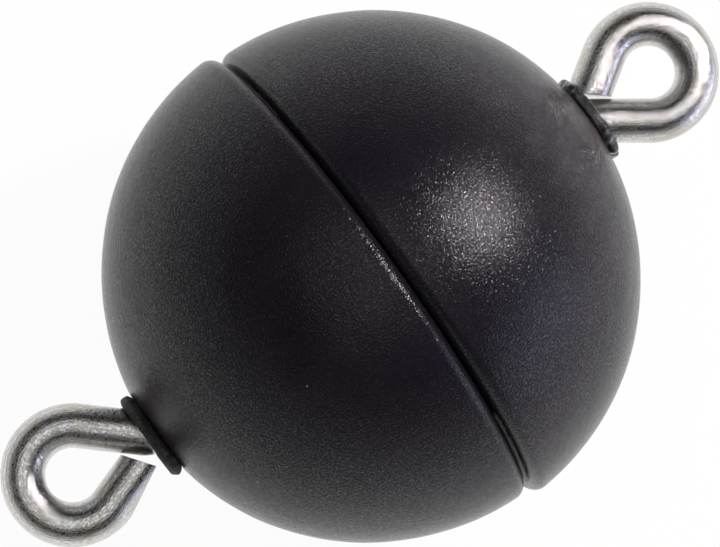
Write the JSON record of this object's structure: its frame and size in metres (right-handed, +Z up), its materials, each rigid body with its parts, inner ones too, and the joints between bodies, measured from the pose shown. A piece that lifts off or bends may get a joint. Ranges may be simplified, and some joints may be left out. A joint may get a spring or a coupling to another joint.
{
  "type": "magnetic ball clasp",
  "caption": "Magnetic ball clasp in black rubber: two half balls that pull apart, each with a turned wire eye that swivels at its pole.",
  "frame": {"origin": "centre of the closed ball, on the plane where its halves part", "axes": "+X along the pole axis from half a to half b; both wire eyes lie flat in the XY plane; +Z up, through the eyes' holes"},
  "size_m": [0.019, 0.012, 0.012],
  "materials": {
    "black_rubber": "matte",
    "plated_wire": "satin",
    "washer_black": "satin",
    "pot_steel": "satin",
    "magnet_nickel": "gloss",
    "spacer_resin": "matte",
    "brass": "satin"
  },
  "bodies": {
    "eye_a": {"eye_pin_a": "plated_wire", "pole_washer_a": "washer_black"},
    "half_a": {"half_shell_a": "black_rubber", "steel_pot_a": "pot_steel", "disc_magnet_a": "magnet_nickel", "spacer_ring_a": "spacer_resin", "thrust_washer_a": "brass", "bore_sleeve_a": "brass"},
    "half_b": {"half_shell_b": "black_rubber", "steel_pot_b": "pot_steel", "disc_magnet_b": "magnet_nickel", "spacer_ring_b": "spacer_resin", "thrust_washer_b": "brass", "bore_sleeve_b": "brass"},
    "eye_b": {"eye_pin_b": "plated_wire", "pole_washer_b": "washer_black"}
  },
  "joints": [
    {"name": "swivel_a", "type": "hinge", "parent": "eye_a", "child": "half_a", "pos_m": [0, 0, 0], "axis": [1, 0, 0], "continuous": true},
    {"name": "pull_apart", "type": "slide", "parent": "half_a", "child": "half_b", "axis": [1, 0, 0], "range_m": [0, 0.012], "stiffness_N_per_m": 5, "springref_m": -0.08},
    {"name": "swivel_b", "type": "hinge", "parent": "half_b", "child": "eye_b", "pos_m": [0, 0, 0], "axis": [1, 0, 0], "continuous": true}
  ]
}
